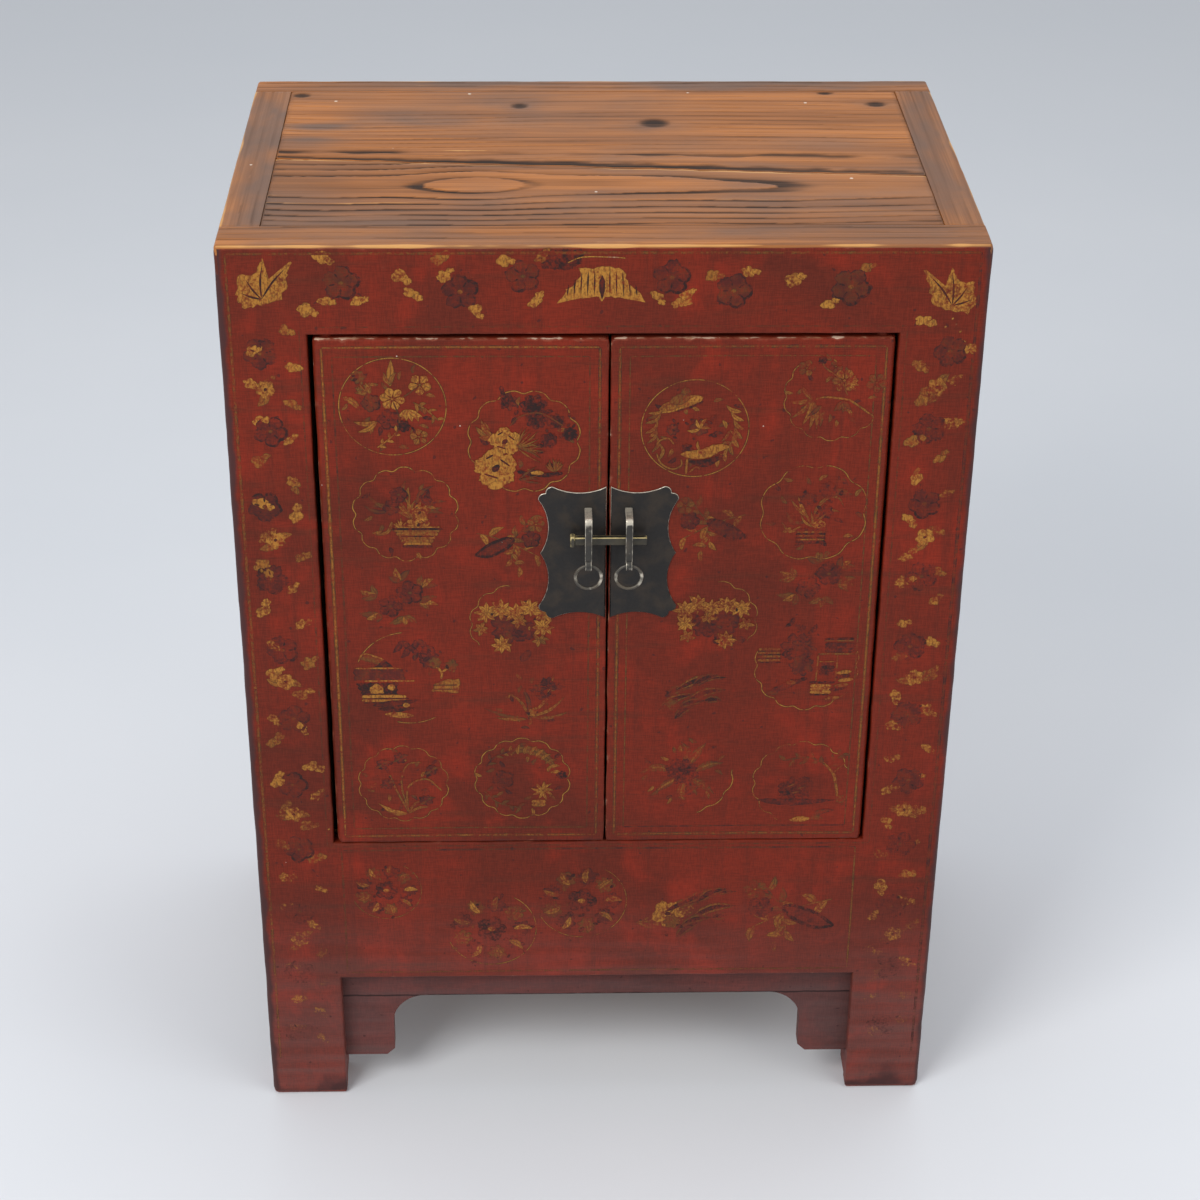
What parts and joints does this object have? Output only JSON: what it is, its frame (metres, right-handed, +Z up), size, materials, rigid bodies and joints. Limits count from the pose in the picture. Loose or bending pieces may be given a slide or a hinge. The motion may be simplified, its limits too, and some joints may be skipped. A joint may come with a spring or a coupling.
{
  "type": "sideboard",
  "caption": "Low red-lacquer cabinet with painted pivot doors, framed plank top, apron with corner brackets, and a cusped lock plate with staples, rings and a sliding pin.",
  "frame": {"origin": "on the floor, at the middle of the overall box, lock fittings included", "axes": "+X to the right of someone facing the doors, +Y to the back, +Z up"},
  "size_m": [0.6, 0.4116, 0.845],
  "materials": {
    "red_lacquer": "aged red lacquer over cloth and wood, painted in dull gold and plum, worn at the edges",
    "worn_top_wood": "old scrubbed planks with dark grain and stains",
    "bare_wood": "plain sawn old wood, dusty",
    "dark_iron": "dark patinated iron, rubbed bright at the edges"
  },
  "bodies": {
    "carcass": {"apron": "red_lacquer", "back_board_1": "bare_wood", "back_board_2": "bare_wood", "back_board_3": "bare_wood", "back_rail": "bare_wood", "bracket_left": "red_lacquer", "bracket_right": "red_lacquer", "door_stop_lower": "bare_wood", "door_stop_upper": "bare_wood", "floor_board_back": "bare_wood", "floor_board_front": "bare_wood", "floor_cleat_left": "bare_wood", "floor_cleat_right": "bare_wood", "frieze_rail": "red_lacquer", "lower_board": "red_lacquer", "post_back_left": "red_lacquer", "post_back_right": "red_lacquer", "post_front_left": "red_lacquer", "post_front_right": "red_lacquer", "shelf_bearer_left": "bare_wood", "shelf_bearer_right": "bare_wood", "shelf_board_back": "bare_wood", "shelf_board_front": "bare_wood", "side_panel_left": "red_lacquer", "side_panel_right": "red_lacquer", "side_rail_left": "red_lacquer", "side_rail_right": "red_lacquer", "top_brace_left": "bare_wood", "top_brace_right": "bare_wood", "top_end_left": "worn_top_wood", "top_end_right": "worn_top_wood", "top_plank_back": "worn_top_wood", "top_plank_front": "worn_top_wood", "top_rail_back": "worn_top_wood", "top_rail_front": "worn_top_wood"},
    "door_left": {"door_left_batten": "bare_wood", "door_left_hinge_stile": "red_lacquer", "door_left_lock_stile": "red_lacquer", "door_left_lower_rail": "red_lacquer", "door_left_panel": "red_lacquer", "door_left_upper_rail": "red_lacquer", "lock_plate_left": "dark_iron", "staple_left": "dark_iron"},
    "door_right": {"door_right_batten": "bare_wood", "door_right_hinge_stile": "red_lacquer", "door_right_lock_stile": "red_lacquer", "door_right_lower_rail": "red_lacquer", "door_right_panel": "red_lacquer", "door_right_upper_rail": "red_lacquer", "lock_plate_right": "dark_iron", "staple_right": "dark_iron"},
    "lock_pin": {"lock_pin": "dark_iron"},
    "ring_left": {"ring_left": "dark_iron"},
    "ring_right": {"ring_right": "dark_iron"}
  },
  "joints": [
    {"name": "door_left_hinge", "type": "hinge", "parent": "carcass", "child": "door_left", "pos_m": [-0.218, -0.1692, 0.284], "axis": [0, 0, -1], "range_deg": [0, 100]},
    {"name": "door_right_hinge", "type": "hinge", "parent": "carcass", "child": "door_right", "pos_m": [0.2195, -0.1692, 0.284], "axis": [0, 0, 1], "range_deg": [0, 100]},
    {"name": "ring_left_swing", "type": "hinge", "parent": "door_left", "child": "ring_left", "pos_m": [-0.0115, -0.2013, 0.575], "axis": [-1, 0, 0], "range_deg": [-45, 100]},
    {"name": "ring_right_swing", "type": "hinge", "parent": "door_right", "child": "ring_right", "pos_m": [0.0215, -0.2013, 0.575], "axis": [-1, 0, 0], "range_deg": [-45, 100]},
    {"name": "lock_pin_slide", "type": "slide", "parent": "door_left", "child": "lock_pin", "axis": [-1, 0, 0], "range_m": [0, 0.04]}
  ]
}
